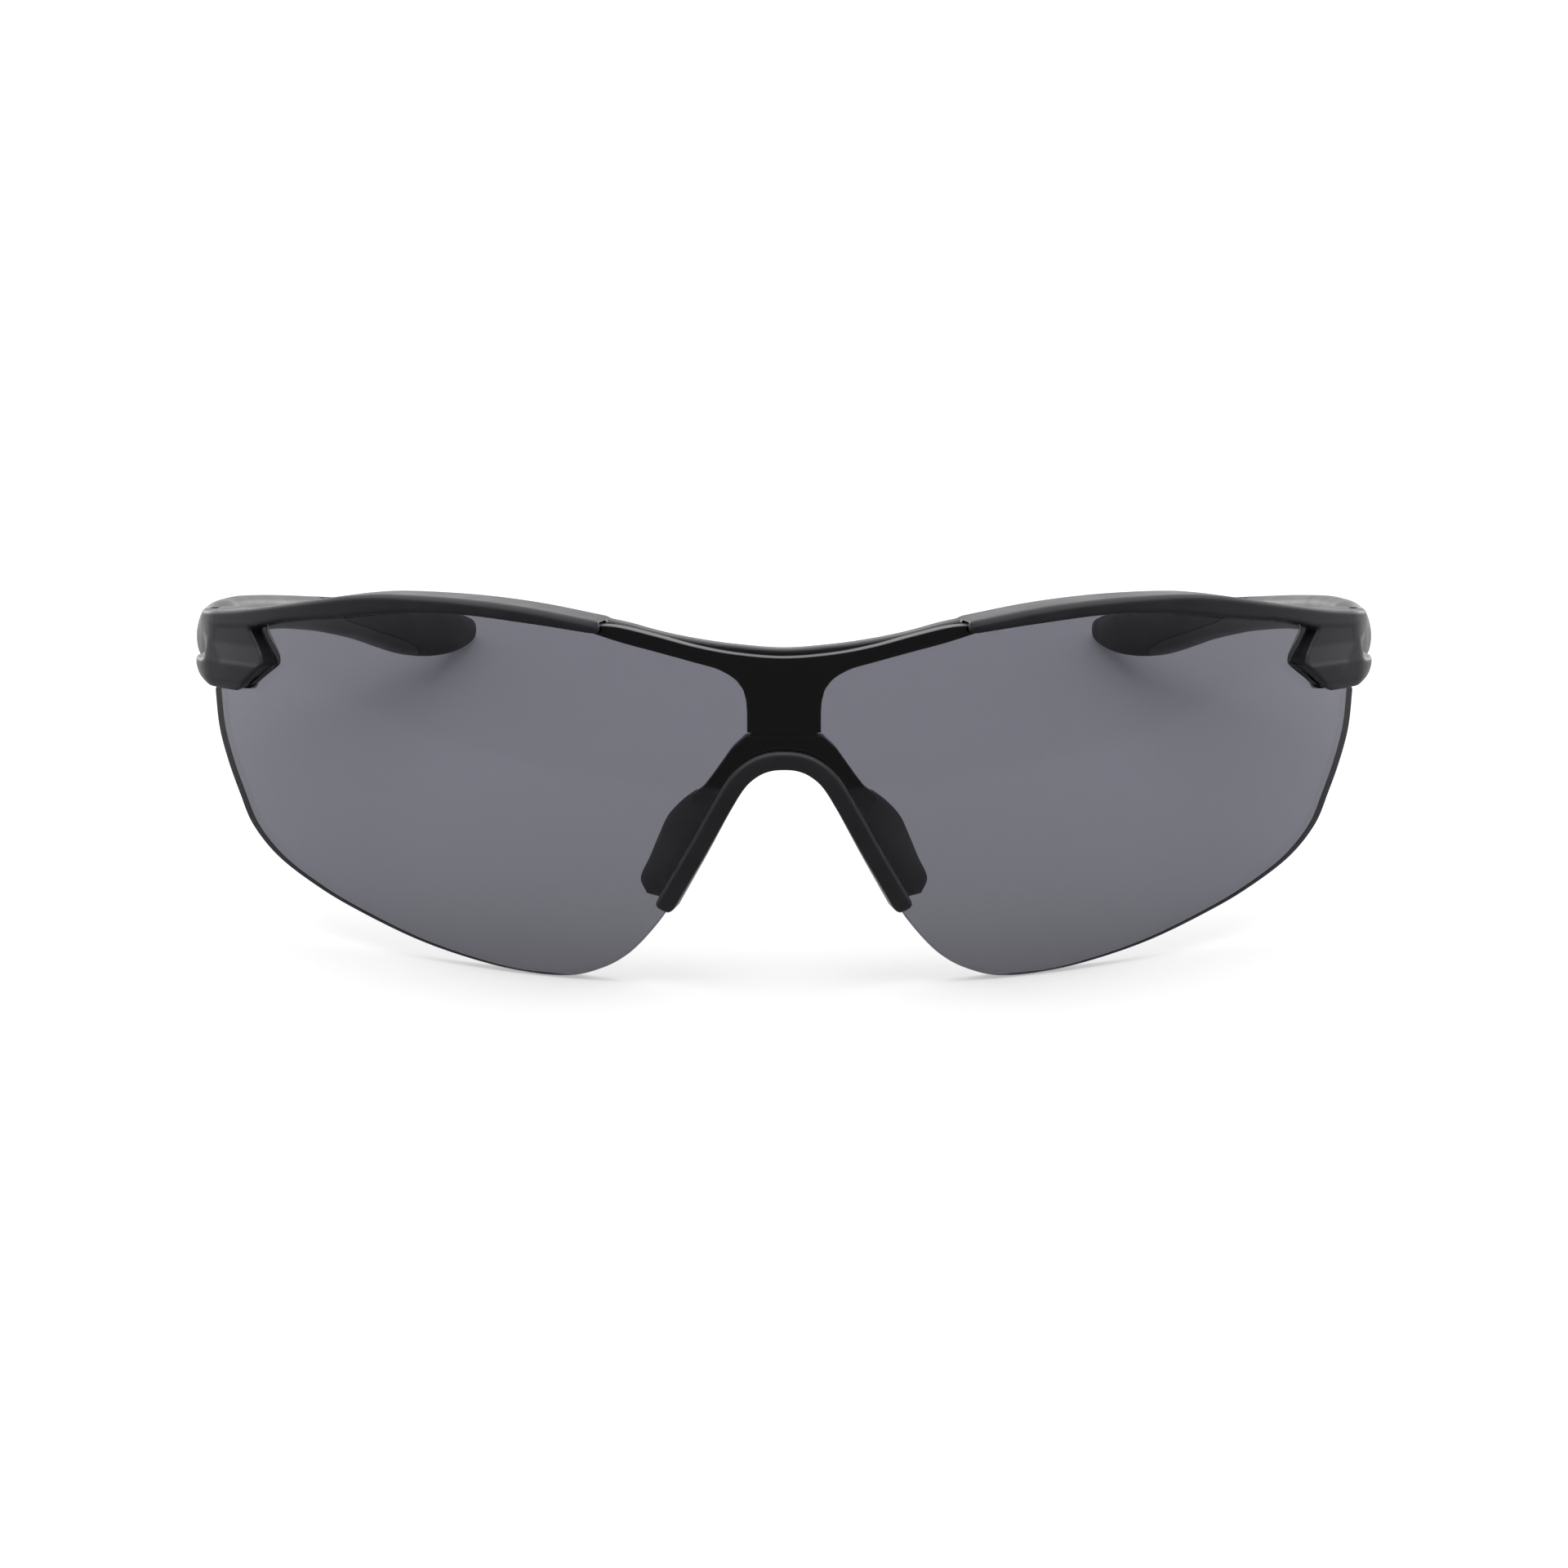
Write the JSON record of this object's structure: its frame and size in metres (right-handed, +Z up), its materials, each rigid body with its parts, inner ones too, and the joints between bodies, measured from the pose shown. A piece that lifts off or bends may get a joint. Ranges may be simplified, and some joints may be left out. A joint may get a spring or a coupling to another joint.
{
  "type": "wraparound sport sunglasses",
  "caption": "Half-rim wraparound sport sunglasses: one smoke shield lens, a charcoal nylon brow frame, a clip-on nose bridge with rubber pads, and folding temples with rubber tips.",
  "frame": {"origin": "on the table under the middle of the glasses' box, as they stand on the lens's two lobes and the two temple tips", "axes": "+X to the wearer's left, +Y back along the temples, +Z up from the table; the front leans back by 8.3 degrees as it does on a table"},
  "size_m": [0.1426, 0.158, 0.0428],
  "materials": {
    "charcoal_nylon": "fine satin moulding texture",
    "black_nylon": "fine satin moulding texture",
    "smoke_lens": "clear smoke-tinted polycarbonate with polished faces",
    "black_rubber": "soft matte",
    "screw_steel": "turned",
    "insert_brass": "turned",
    "natural_nylon": "matte"
  },
  "bodies": {
    "front": {"front_frame": "charcoal_nylon", "lens_shield": "smoke_lens", "nose_bridge": "black_nylon", "left_nose_pad": "black_rubber", "right_nose_pad": "black_rubber", "left_hinge_screw": "screw_steel", "right_hinge_screw": "screw_steel", "left_hinge_insert": "insert_brass", "right_hinge_insert": "insert_brass", "left_hinge_washer_lower": "natural_nylon", "left_hinge_washer_upper": "natural_nylon", "right_hinge_washer_lower": "natural_nylon", "right_hinge_washer_upper": "natural_nylon"},
    "left_temple": {"left_temple_arm": "charcoal_nylon", "left_temple_tip": "black_rubber", "left_temple_core_wire": "screw_steel"},
    "right_temple": {"right_temple_arm": "charcoal_nylon", "right_temple_tip": "black_rubber", "right_temple_core_wire": "screw_steel"}
  },
  "joints": [
    {"name": "left_temple_fold", "type": "hinge", "parent": "front", "child": "left_temple", "pos_m": [0.0662, -0.03574, 0.03002], "axis": [0, 0.144, 0.9896], "range_deg": [0, 84]},
    {"name": "right_temple_fold", "type": "hinge", "parent": "front", "child": "right_temple", "pos_m": [-0.0662, -0.03574, 0.03002], "axis": [0, -0.144, -0.9896], "range_deg": [0, 74]}
  ]
}
